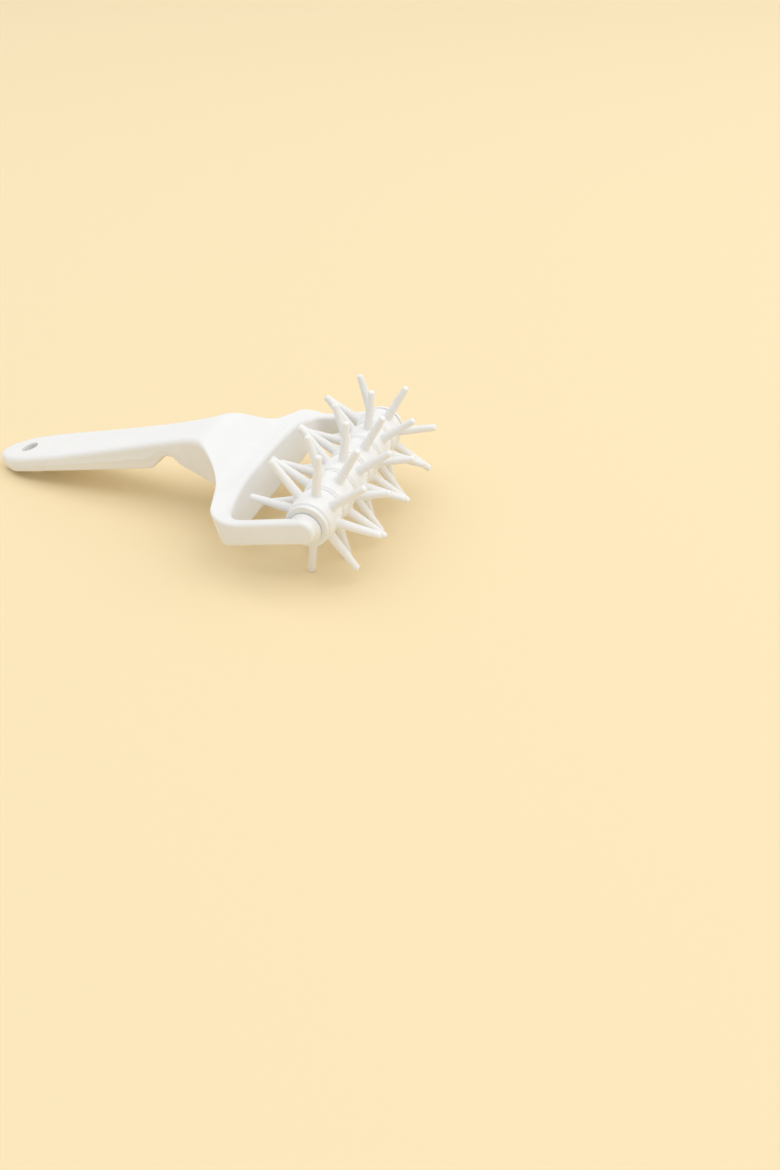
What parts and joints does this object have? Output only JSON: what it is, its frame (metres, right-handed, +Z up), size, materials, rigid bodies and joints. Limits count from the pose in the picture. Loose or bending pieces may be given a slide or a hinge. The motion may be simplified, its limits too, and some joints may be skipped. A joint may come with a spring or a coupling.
{
  "type": "dough docker",
  "caption": "Moulded plastic dough docker: a forked handle holding a free-turning roller of spiked rings that pricks rolled-out dough.",
  "frame": {"origin": "centre of the bounding box on the surface that the docker rests on", "axes": "+X along the axle, +Y from the handle towards the roller, +Z up"},
  "size_m": [0.0978, 0.2094, 0.0567],
  "materials": {
    "frame_plastic": "satin moulded white",
    "core_plastic": "satin moulded white",
    "ring_plastic": "satin moulded white, slightly glossier than the handle",
    "collar_plastic": "satin moulded white"
  },
  "bodies": {
    "frame": {"frame": "frame_plastic"},
    "roller": {"roller_core": "core_plastic", "star_ring_1": "ring_plastic", "star_ring_2": "ring_plastic", "star_ring_3": "ring_plastic", "star_ring_4": "ring_plastic", "star_ring_5": "ring_plastic", "star_ring_6": "ring_plastic", "end_collar_right": "collar_plastic", "end_collar_left": "collar_plastic"}
  },
  "joints": [
    {"name": "roller_spin", "type": "hinge", "parent": "frame", "child": "roller", "pos_m": [0, 0.07632, 0.02834], "axis": [1, 0, 0], "continuous": true}
  ]
}
